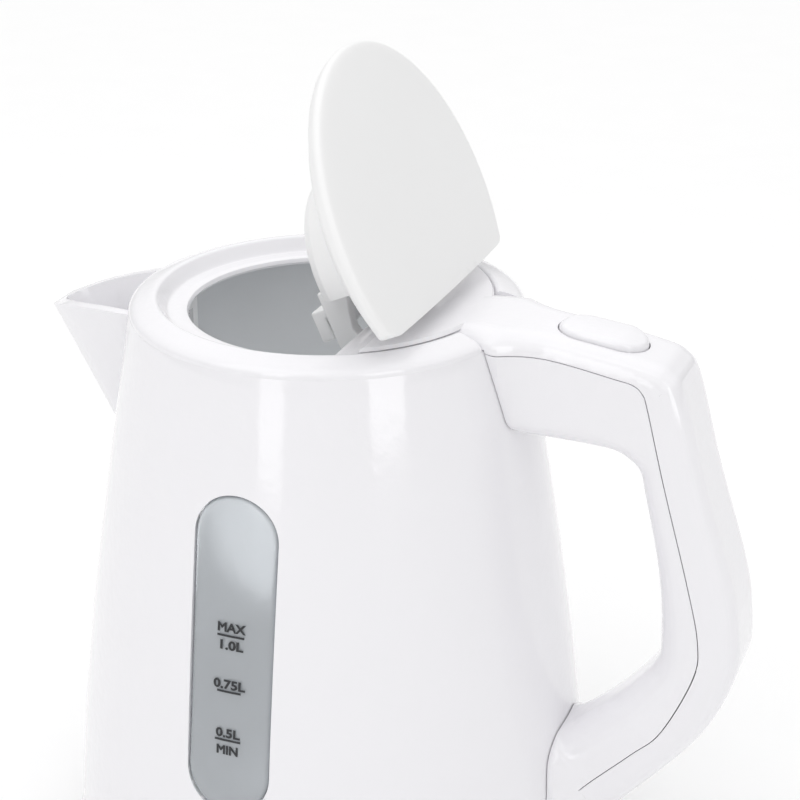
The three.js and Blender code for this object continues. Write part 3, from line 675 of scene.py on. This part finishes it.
class KETTLE_OT_window(bpy.types.Operator):
    """Mould the water window and print its volume marks"""
    bl_idname = "kettle.window"
    bl_label = "Water window"

    def execute(self, context):
        def on_wall(x, z, offset):
            return (x, -math.sqrt((wall_radius(z) + offset) ** 2 - x * x), z)

        def ring(inset, offset):
            half, low, high = WINDOW
            outline = stadium(half - inset, low + inset, high - inset, steps=32)
            return [on_wall(x, z, offset) for x, z in outline]

        front = [ring(1.3 * (1 - math.cos(a)) if a else 0, -0.1 - 1.1 * (1 - math.sin(a)))
                 for a in spread(0, math.pi / 2, 5)]
        front += [ring(inset, -0.1) for inset in (3, 5, 7, 9, 11, 12.25)]
        back = [ring(inset, -2.5) for inset in (12.25, 11, 9, 7, 5, 3, 0)]
        lens = lofted("lens", back + front)
        finished(lens, "water_window_pane", "jug", ["water_window"],
                 [window_clear()], sharp=40)
        bm = bmesh.new()
        for words, height, stretch in MARKS:
            curve = bpy.data.curves.new("mark", "FONT")
            curve.body, curve.size, curve.align_x = words, 3.6, "CENTER"
            curve.extrude, curve.resolution_u = 0.03, 3
            curve.bevel_depth, curve.bevel_resolution = 0.13, 0
            text = bpy.data.objects.new("mark", curve)
            context.scene.collection.objects.link(text)
            graph = bpy.context.evaluated_depsgraph_get()
            mesh = bpy.data.meshes.new_from_object(text.evaluated_get(graph))
            bpy.data.objects.remove(text)
            for v in mesh.vertices:
                placed = on_wall(v.co.x * stretch, v.co.y + height, 0.02 + v.co.z / 4)
                v.co = Vector(placed) * MM
            bm.from_mesh(mesh)
        mesh = bpy.data.meshes.new("lines")
        for height, half in MARK_LINES:
            corners = []
            for depth in (-0.04, 0.05):
                for z in (height - 0.28, height + 0.28):
                    corners.append([Vector(on_wall(x, z, depth)) * MM
                                    for x in spread(-half, half, 8)])
            verts = [v for row in corners for v in row]
            size = len(corners[0])
            faces = [(0, size, 3 * size, 2 * size),
                     (size - 1, 3 * size - 1, 4 * size - 1, 2 * size - 1)]
            for j in range(size - 1):
                for a, b in ((0, 1), (1, 3), (3, 2), (2, 0)):
                    faces.append((a * size + j, a * size + j + 1, b * size + j + 1, b * size + j))
            mesh.clear_geometry()
            mesh.from_pydata(verts, [], faces)
            bm.from_mesh(mesh)
        bmesh.ops.remove_doubles(bm, verts=bm.verts, dist=1e-7)
        bmesh.ops.recalc_face_normals(bm, faces=bm.faces)
        mesh = bpy.data.meshes.new("window_marks")
        bm.to_mesh(mesh)
        bm.free()
        print_layer = bpy.data.objects.new("window_marks", mesh)
        context.scene.collection.objects.link(print_layer)
        print_layer.data.materials.append(printed_grey())
        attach(print_layer, "jug")
        return {"FINISHED"}


def handle_half(x, z):
    """Half-width of the handle: it flares where its arms meet the jug."""
    out = x - wall_radius(z)
    near = min(max(1 - out / 14, 0), 1)
    share = min(max((z - 154) / 26 if z > 100 else (70 - z) / 35, 0), 1)
    return GRIP_HALF + 5.8 * share * near ** 2 + 0.26 * min(out, 0)


def handle_solid(points, radii, half):
    """The handle's outline spread across its width, its edges rounded point by point."""
    loops = []
    widest = max(radii)
    levels = sorted({half - widest * (1 - math.sin(a)) for a in spread(0, math.pi / 2, 9)}
                    | {half - 0.4, half - 1.2})
    for side in (-1, 1):
        for y in (levels[::-1] if side < 0 else levels):
            insets = []
            for r in radii:
                rise = min(max((y - (half - r)) / max(r, 1e-6), 0), 1)
                insets.append(r * (1 - math.sqrt(1 - rise * rise)))
            loops.append([(x, side * y, z) for x, z in inset_loop(points, insets)])
    made = lofted("handle", loops)
    bm = bmesh.new()
    bm.from_mesh(made.data)
    # Slices that let the long facets follow the flare.
    cuts = [(0, mark) for mark in range(46, 100, 2)]
    cuts += [(2, mark) for mark in (*range(24, 72, 3), *range(152, 186, 2))]
    for axis, mark in cuts:
        at, normal = Vector((0, 0, 0)), Vector((0, 0, 0))
        at[axis], normal[axis] = (mark + 0.013) * MM, 1
        everything = bm.verts[:] + bm.edges[:] + bm.faces[:]
        bmesh.ops.bisect_plane(bm, geom=everything, plane_co=at, plane_no=normal)
    for v in bm.verts:
        v.co.y *= handle_half(v.co.x / MM, v.co.z / MM) / GRIP_HALF
    bmesh.ops.triangulate(bm, faces=[f for f in bm.faces if len(f.verts) > 4])
    bm.to_mesh(made.data)
    bm.free()
    return made


def lifted(points):
    return [(x, z + LIP_Z) for x, z in points]


def cover_side(distance):
    """Everything on the cover's side of the seam."""
    seam = offset_line(smooth(SEAM, 90), -distance)
    end = seam[-1]
    points = [(20, 0.3 - distance), (50, 0.3 - distance)] + seam
    points += [(end[0] + 11, end[1] - 12.5), (150, -150), (150, 30), (20, 30)]
    return prism("side", lifted(points), "Y", -40, 40)


def handle_whole():
    """The whole handle, and the hollow that opens it towards the jug."""
    edge = bpy.context.scene.kettle_shape.edge / MM
    # Rounding of the edges: tight along the top, fullest under the palm on the lower arm.
    rim = [(x, z, edge) for x, z in smooth(OUTER, 130) + [(72, -158), (66, -128)]]
    rim += [(x, z, edge + (10 - edge) * min(max((-26 - z) / 70, 0), 1))
            for x, z in smooth(INNER, 110)]
    rim = counter_clockwise(rim + [(44, -23, edge)])
    outline, radii = lifted([(x, z) for x, z, _ in rim]), [r for _, _, r in rim]
    for _ in range(6):
        radii = [(radii[i - 1] + r + radii[(i + 1) % len(radii)]) / 3 for i, r in enumerate(radii)]
    whole = cut(handle_solid(outline, radii, GRIP_HALF), wall_solid(0.35, 10, LIP_Z + 0.3, 192))
    cavity = handle_solid(inset_loop(outline, WALL), [r - WALL for r in radii], GRIP_HALF - WALL)
    cavity = cut(cavity, wall_solid(0.35 + WALL, 5, LIP_Z + 0.3, 192),
                 box(0, 62, -40, 40, LIP_Z + 0.3, 200))
    return whole, cavity


def screw_bar(start, end, radius, steps=32):
    """A bar along the cover screw, from one depth under the lower arm's face to another."""
    at, out = Vector((104.6, 0, LIP_Z - 131.4)), Vector((0.752, 0, -0.659)).normalized()
    return bar(at - out * start, at - out * end, radius, steps)


def button_outline(radius, steps=28):
    """The release button's plan: two straight sides and two round ends."""
    x0, x1, _ = BUTTON
    points = []
    for centre, first in ((x1, -math.pi / 2), (x0, math.pi / 2)):
        for i in range(steps + 1):
            angle = first + math.pi * i / steps
            points.append((centre + radius * math.cos(angle), radius * math.sin(angle)))
    return points


def fan_head():
    """The hinge head over the rear of the mouth."""
    fan = turned("fan", [(0, 180.3), (45.3, 180.3), (48.1, 183.8), (47.5, 184.7), (0, 184.7)], 256)
    combine(fan, box(18.6, 60, -50, 50, 170, 190), "INTERSECT")
    step = [(10, 181), (18.9, 181), (20, 181.3), (22.6, 181.8), (25.2, 181.9), (25.9, 182.3),
            (26.3, 183.8), (26.6, 184.3), (27.1, 184.75), (27.1, 190), (10, 190)]
    cut(fan, prism("step", step, "Y", -60, 60))
    for side in (-1, 1):
        y0, y1 = sorted((side * 11.7, side * 16.8))
        cut(fan, box(28, 37, y0, y1, 170, 181.6))
        y0, y1 = sorted((side * 6.2, side * 8.1))
        join(fan, box(28.6, 35.2, y0, y1, 174.6, 181.6))
    cut(fan, box(27.8, 36.2, -6.2, 6.2, 170, 181.6))
    return cut(fan, bar((HINGE[0], -12, HINGE[1]), (HINGE[0], 12, HINGE[1]), PIN_HOLE))


class KETTLE_OT_handle(bpy.types.Operator):
    """Build the handle's cover, with the hinge head and the button hole, and the grip under it"""
    bl_idname = "kettle.handle"
    bl_label = "Handle"

    def execute(self, context):
        cover, cavity = handle_whole()
        combine(cover, cover_side(0), "INTERSECT")
        cut(cover, cavity)
        join(cover, cut(fan_head(), box(60, 70, -5, 5, 170, 190)))
        # The latch slider's channel, and the pocket of its head.
        cut(cover, box(40.2, 66.2, -3.9, 3.9, 178, 182.3), box(40.6, 46.4, -13, 13, 179, 182.3))
        cut(cover, prism("hole", button_outline(BUTTON[2] + 0.35), "Z", 172, 190))
        join(cover, screw_bar(1, 4.5, 4))
        cut(cover, screw_bar(-4, 2.3, 3.1), screw_bar(2, 6, 1.7))
        finished(cover, "handle_top_cover", "jug", ["handle_cover"],
                 [gloss_white()])
        grip, cavity = handle_whole()
        cut(grip, cover_side(0.3), cavity)
        join(grip, screw_bar(4.9, 23.8, 3.4), bar((87, 0, 154.5), (87, 0, 162), 4.2))
        cut(grip, screw_bar(4, 17, 1.4))
        finished(grip, "handle_hand_grip", "jug", ["handle_grip"],
                 [gloss_white()])
        return {"FINISHED"}


class KETTLE_OT_button(bpy.types.Operator):
    """Crown the lid's release button"""
    bl_idname = "kettle.button"
    bl_label = "Release button"

    def execute(self, context):
        x0, x1, radius = BUTTON

        def top(x):
            line = [(69, 184.0), (72, 185.2), (80, 185.0), (90, 183.6), (96, 181.6)]
            for (a, za), (b, zb) in zip(line, line[1:]):
                if x <= b:
                    return za + (zb - za) * (x - a) / (b - a)
            return line[-1][1]

        def loop(inset, drop):
            points = button_outline(radius - inset)
            return [(x, y, top(x) - drop - 0.006 * y * y) for x, y in points]

        skirt = [[(x, y, 177) for x, y in button_outline(radius)]]
        edge = [loop(1.1 * (1 - math.cos(a)), 1.1 * (1 - math.sin(a)))
                for a in spread(0, math.pi / 2, 5)]
        crown = [loop(inset, 0) for inset in (2, 3.2, 4.6, 6, 7.2)]
        cap = lofted("button", skirt + edge + crown)
        flange = [(min(x, 95.6), y) for x, y in button_outline(radius + 1.3)]
        low = prism("flange", flange, "Z", 175.3, 177.0)
        join(cap, low, box(70.8, 73.4, -3, 3, 171.4, 176))
        finished(cap, "release_button_cap", "release_button",
                 ["release_button"], [gloss_white()])
        return {"FINISHED"}


def swung(obj):
    """Swings a piece drawn closed open about the hinge pin."""
    pivot = Vector((HINGE[0], 0, HINGE[1])) * MM
    turn = Matrix.Rotation(LID_OPEN, 4, "Y")
    return moved(obj, Matrix.Translation(pivot) @ turn @ Matrix.Translation(-pivot))


def lid_flat(x):
    """Everything before a plane across the lid."""
    return box(-80, x, -80, 80, 100, 260)


def lid_plan(r):
    """Plan of the lid: a disc with a straight rear edge, its two corners rounded."""
    reach = 50.3
    x = LID_CHORD_X - r
    y = math.sqrt((reach - r) ** 2 - x * x)
    turn = math.atan2(y, x)
    corner = [(x + r * math.cos(a), y + r * math.sin(a)) for a in spread(0, turn, 12)]
    disc = [(reach * math.cos(a), reach * math.sin(a)) for a in spread(turn, 2 * math.pi - turn, 96)[1:-1]]
    return corner + disc + [(px, -py) for px, py in corner[::-1]]


class KETTLE_OT_lid(bpy.types.Operator):
    """Turn the domed lid and the plug under it, and swing both open"""
    bl_idname = "kettle.lid"
    bl_label = "Lid"

    def execute(self, context):
        rim = smooth([(48.7, 184.5), (49.3, 185.6), (49.75, 186.8), (49.5, 187.9), (48.6, 188.6),
                      (46.5, 189.0)], 20)
        dome = smooth([(46.5, 189.0), (36, 189.8), (20, 190.4), (8, 190.58), (0, 190.6)], 20)
        skin = turned("lid", [(0, 184.4), (48.5, 184.4)] + rim + dome[1:], LID_STEPS)
        combine(skin, prism("plan", lid_plan(LID_CORNER), "Z", 100, 260), "INTERSECT")
        hollow = turned("hollow", [(0, 183), (46.9, 183), (47.7, 186.2), (46.4, 187), (36, 187.9),
                                   (20, 188.5), (0, 188.7)], LID_STEPS)
        combine(hollow, lid_flat(LID_CHORD_X - 2), "INTERSECT")
        cut(skin, hollow)
        rounded(skin, 0.5, 3, 50)
        finished(swung(skin), "lid_dome", "lid", ["lid_outer"],
                 [satin_white()], sharp=40)
        flange = turned("flange", [(0, 181), (43.4, 181), (43.9, 181.4), (46.2, 184.6), (46.2, 186),
                                   (0, 186)], LID_STEPS)
        cup_line = smooth([(18.5, 161), (21, 161.5), (23.5, 162.5), (25.3, 164.6), (26.5, 167.5),
                           (27.5, 182)], 24)
        cup = turned("cup", [(0, 161)] + cup_line + [(0, 182)], 192, (PLUG_X, 0))
        bowl = turned("bowl", [(0, 162.8), (17.9, 162.8), (22.1, 164.2), (24.7, 168.4), (25.7, 187),
                               (0, 187)], 128, (PLUG_X, 0))
        combine(flange, lid_flat(18), "INTERSECT")
        combine(cup, lid_flat(PLUG_REAR), "INTERSECT")
        combine(bowl, lid_flat(PLUG_REAR - PLUG_SKIN), "INTERSECT")
        plug = cut(join(flange, cup), bowl)
        arm = [(10.2, 157), (26.6, 157), (28.6, 157.8), (30.6, 159.8), (31.4, 162), (35.1, 176.8),
               (28.8, 175.8), (26.6, 168), (25.6, 165.2), (24.3, 163.8), (22.6, 163.3), (18, 164.2),
               (12, 165.9), (10.2, 165.9)]
        for side in (-1, 1):
            y0, y1 = sorted((side * 12, side * 16.5))
            x, z = HINGE
            join(plug, rounded(prism("arm", arm, "Y", y0, y1), 0.5, 3, 40), bar((x, y0, z), (x, y1, z), 3.3))
            cut(plug, bar((x, y0 - 1, z), (x, y1 + 1, z), PIN_HOLE))
        hook = [(15.2, 161.5), (15.2, 151.8), (24.5, 151.8), (24.5, 155.6), (18, 155.6), (18, 161.5)]
        join(plug, rounded(prism("hook", hook, "Y", -15, 15), 0.6, 3, 40))
        finished(swung(plug), "lid_plug", "lid", ["lid_inner"],
                 [satin_white()], sharp=40)
        return {"FINISHED"}


class KETTLE_OT_base(bpy.types.Operator):
    """Turn the power base's shell"""
    bl_idname = "kettle.base"
    bl_label = "Power base"

    def execute(self, context):
        shoulder = smooth([(BASE_R, BASE_LOW), (BASE_R, 7.2), (81.6, 9.6), (80.3, 11.7), (77.4, 13.5),
                           (73.6, 14.25), (69, 14.5)], 36)
        line = shoulder + [(20.8, BASE_TOP), (20.3, 14.3), (20.3, 12.4), (68, 12.2), (75, 11.2),
                           (78, 9.2), (79.6, 7), (79.6, BASE_LOW)]
        seeds = [(r - 50, -z, 0) for r, z in line]
        edges = [(i, (i + 1) % len(seeds)) for i in range(len(seeds))]
        shell = grown("base", lathe_tree(), {"Steps": 224, "Material": gloss_white()}, seeds, edges)
        spots = [v.co / MM for v in shell.data.vertices]
        found = (max(p.x for p in spots), min(p.z for p in spots), max(p.z for p in spots))
        if any(abs(a - b) > 0.1 for a, b in zip(found, (BASE_R, BASE_LOW, BASE_TOP))):
            raise RuntimeError(f"the base shell came out at {found} mm")
        bm = bmesh.new()
        bm.from_mesh(shell.data)
        bmesh.ops.recalc_face_normals(bm, faces=bm.faces)
        bm.to_mesh(shell.data)
        bm.free()
        cut(shell, bar((85, 0, 5.6), (74, 0, 5.6), 4.4))
        finished(shell, "base_shell", "power_base", ["base_top_shell"],
                 [gloss_white()])
        return {"FINISHED"}


class KETTLE_OT_screws(bpy.types.Operator):
    """Set the cross-head screws of the base, the bottom cover and the handle"""
    bl_idname = "kettle.screws"
    bl_label = "Screws"

    def execute(self, context):
        tree = screw_tree()

        def circle(radius, shift, z):
            angles = [math.radians(d + shift) for d in BOSS_ANGLES]
            return [(radius * math.cos(a), radius * math.sin(a), z) for a in angles]

        sets = [
            ("base_screws", "power_base", ["base_screw_1", "base_screw_2", "base_screw_3"],
             circle(50, 0, 2.15), 2.8, 1.05, 1.25, 9.0, (0, 0, 0)),
            ("bottom_screws", "jug", ["bottom_screw_1", "bottom_screw_2", "bottom_screw_3"],
             circle(69, 20, 15.7), 2.6, 0.95, 1.1, 13.2, (0, 0, 0)),
            ("handle_cover_screw", "jug", ["handle_screw"],
             [tuple(Vector((104.6, 0, 48.6)) - Vector((0.752, 0, -0.659)).normalized() * 1.3)],
             2.6, 1.2, 1.0, 12.5, (0, math.radians(-48.8), 0)),
        ]
        for name, body, nodes, points, head, height, shank, length, turn in sets:
            screws = grown(name, tree, {
                "Head Radius": head * MM, "Head Height": height * MM, "Shank Radius": shank * MM,
                "Shank Length": length * MM, "Turned": turn, "Material": steel()}, points)
            finished(screws, name, body, nodes, [steel()])
        return {"FINISHED"}


class KETTLE_OT_springs(bpy.types.Operator):
    """Wind the lid's spring and the button's spring"""
    bl_idname = "kettle.springs"
    bl_label = "Springs"

    def execute(self, context):
        tree, turns = coil_tree(), float(context.scene.kettle_shape.coil_turns)
        lid = grown("lid_coil", tree, {
            "Turns": turns + 2, "Radius": 2.4 * MM, "Wire": 0.45 * MM, "Height": 10.4 * MM,
            "Place": (HINGE[0] * MM, 5.2 * MM, HINGE[1] * MM), "Turned": (math.pi / 2, 0, 0),
            "Material": steel()})
        finished(lid, "lid_coil_spring", "jug", ["lid_spring"], [steel()])
        press = grown("button_coil", tree, {
            "Turns": turns, "Radius": 2.9 * MM, "Wire": 0.4 * MM, "Height": 11.4 * MM,
            "Place": (87 * MM, 0, 162.9 * MM), "Turned": (0, 0, 0), "Material": steel()})
        finished(press, "button_coil_spring", "jug", ["button_spring"], [steel()])
        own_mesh(press)
        return {"FINISHED"}


class KETTLE_OT_filter(bpy.types.Operator):
    """Weave the wire gauze of the spout's filter"""
    bl_idname = "kettle.filter"
    bl_label = "Spout filter"

    def execute(self, context):
        low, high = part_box("filter_mesh")
        middle = (Vector(low) + Vector(high)) / 2 / MM
        gauze = grown("gauze", gauze_tree(), {
            "Width": 25.2 * MM, "Height": 35.2 * MM, "Pitch": context.scene.kettle_shape.gauze_pitch,
            "Wire": 0.16 * MM, "Material": steel()}, [tuple(middle)])
        finished(gauze, "filter_gauze", "spout_filter", ["filter_mesh"], [steel()])
        return {"FINISHED"}


class KETTLE_OT_finishes(bpy.types.Operator):
    """Give every part kept from the frame its finish"""
    bl_idname = "kettle.finishes"
    bl_label = "Finishes of the kept parts"

    def execute(self, context):
        groups = {
            gloss_white: ["base_plate", "bottom_cover"],
            satin_white: ["filter_frame", "steam_tube", "switch_lever"],
            dark_plastic: ["base_connector", "control_body", "switch_bracket", "latch_slider"],
            rubber: ["base_foot_1", "base_foot_2", "base_foot_3", "cord_gland"],
            silicone: ["window_gasket", "heater_seal"],
            steel: ["heater_plate", "heating_element", "hinge_pin"],
            brass: ["contact_line", "contact_neutral", "contact_earth", "connector_pin", "connector_ring",
                    "dry_boil_disc_1", "dry_boil_disc_2", "steam_disc"],
        }
        for finish, names in groups.items():
            for name in names:
                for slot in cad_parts[name].material_slots:
                    slot.material = finish()
        return {"FINISHED"}


class KETTLE_OT_stage(bpy.types.Operator):
    """Lay the pale floor, and set the soft lights and the camera"""
    bl_idname = "kettle.stage"
    bl_label = "Stage"

    def execute(self, context):
        scene = context.scene
        bm = bmesh.new()
        bmesh.ops.create_grid(bm, x_segments=1, y_segments=1, size=FLOOR_REACH)
        mesh = bpy.data.meshes.new("floor")
        bm.to_mesh(mesh)
        bm.free()
        floor = bpy.data.objects.new("floor", mesh)
        scene.collection.objects.link(floor)
        floor.data.materials.append(material("pale_studio_floor", "#FCFCFC", {"Roughness": 0.8},
                                             grain_mm=1.0, bump=0.02))
        world = bpy.data.worlds.new("studio")
        world.use_nodes = True
        sky = world.node_tree
        # A bright ceiling over dimmer walls, dimmest at the two sides.
        ways = node(sky, "ShaderNodeTexCoord")
        parts = node(sky, "ShaderNodeSeparateXYZ", {0: (ways, "Generated")})
        high = node(sky, "ShaderNodeMath", {0: (parts, "Z"), 1: 0.0}, operation="MAXIMUM")
        lift = node(sky, "ShaderNodeMath", {0: (high, 0), 1: CEILING, 2: HORIZON},
                    operation="MULTIPLY_ADD")
        aside = node(sky, "ShaderNodeVectorMath", {0: (ways, "Generated"), 1: (0.93, 0.37, 0)},
                     operation="DOT_PRODUCT")
        off = node(sky, "ShaderNodeMath", {0: (aside, "Value")}, operation="ABSOLUTE")
        fall = node(sky, "ShaderNodeMath", {0: (off, 0), 1: SIDE_DIMMING, 2: 0.0},
                    operation="MULTIPLY_ADD")
        total = node(sky, "ShaderNodeMath", {0: (lift, 0), 1: (fall, 0)}, operation="ADD")
        sky.links.new(total.outputs[0], sky.nodes["Background"].inputs["Strength"])
        sky.nodes["Background"].inputs["Color"].default_value = (1, 1, 1, 1)
        scene.world = world
        lights = [
            ("left_strip", (-0.115, -1.054, 0.45), (0, 0, 0.12), 0.26, 1.1, 1.7),
            ("right_strip", (0.926, -0.665, 0.5), (0, 0, 0.12), 0.42, 1.0, 3.1),
            ("top_box", (-0.3, -0.5, 1.15), (0, 0, 0.15), 0.8, 0.8, 1.4),
        ]
        for name, place, aim, width, height, power in lights:
            lamp = bpy.data.lights.new(name, "AREA")
            lamp.shape, lamp.size, lamp.size_y, lamp.energy = "RECTANGLE", width, height, power
            obj = bpy.data.objects.new(name, lamp)
            scene.collection.objects.link(obj)
            obj.location = place
            way = Vector(aim) - Vector(place)
            obj.rotation_euler = way.to_track_quat("-Z", "Y").to_euler()
            # The strips only draw their bright reflections on the glossy wall.
            obj.visible_diffuse = name == "top_box"
        # Stands in for the light that comes through the jug's thin white wall.
        glow = bpy.data.lights.new("wall_glow", "POINT")
        glow.energy, glow.shadow_soft_size = 0.045, 0.03
        inside = bpy.data.objects.new("wall_glow", glow)
        inside.location = (-0.01, 0, 0.11)
        scene.collection.objects.link(inside)
        lens = bpy.data.cameras.new("camera")
        lens.lens, lens.sensor_width = 90, 36
        camera = bpy.data.objects.new("camera", lens)
        scene.collection.objects.link(camera)
        camera.location = (0.21775, -0.49568, 0.38503)
        view = Vector((-0.3360, 0.8531, -0.3992))
        camera.rotation_euler = view.to_track_quat("-Z", "Y").to_euler()
        scene.camera = camera
        scene.view_settings.view_transform = "Standard"
        return {"FINISHED"}


OPERATORS = (KETTLE_OT_jug, KETTLE_OT_window, KETTLE_OT_handle, KETTLE_OT_button, KETTLE_OT_lid,
             KETTLE_OT_base, KETTLE_OT_screws, KETTLE_OT_springs, KETTLE_OT_filter,
             KETTLE_OT_finishes, KETTLE_OT_stage)


class KETTLE_PT_sidebar(bpy.types.Panel):
    bl_idname = "KETTLE_PT_sidebar"
    bl_label = "Kettle"
    bl_space_type = "VIEW_3D"
    bl_region_type = "UI"
    bl_category = "Kettle"

    def draw(self, context):
        shape = context.scene.kettle_shape
        for name in ("steps", "edge", "gauze_pitch", "coil_turns"):
            self.layout.prop(shape, name)
        self.layout.prop(context.scene.kettle_finish_hex, "body_colour")
        for operator in OPERATORS:
            self.layout.operator(operator.bl_idname)


CLASSES = (KettleFinish, KettleShape) + OPERATORS + (KETTLE_PT_sidebar,)


def register():
    for item in CLASSES:
        bpy.utils.register_class(item)
    bpy.types.Scene.kettle_shape = PointerProperty(type=KettleShape)
    bpy.types.Scene.kettle_finish_hex = PointerProperty(type=KettleFinish)


def unregister():
    del bpy.types.Scene.kettle_finish_hex
    del bpy.types.Scene.kettle_shape
    for item in reversed(CLASSES):
        bpy.utils.unregister_class(item)


def main():
    register()
    for operator in OPERATORS:
        group, name = operator.bl_idname.split(".")
        if getattr(getattr(bpy.ops, group), name)() != {"FINISHED"}:
            raise RuntimeError(f"{operator.bl_idname} did not finish")


if __name__ == "__main__":
    main()
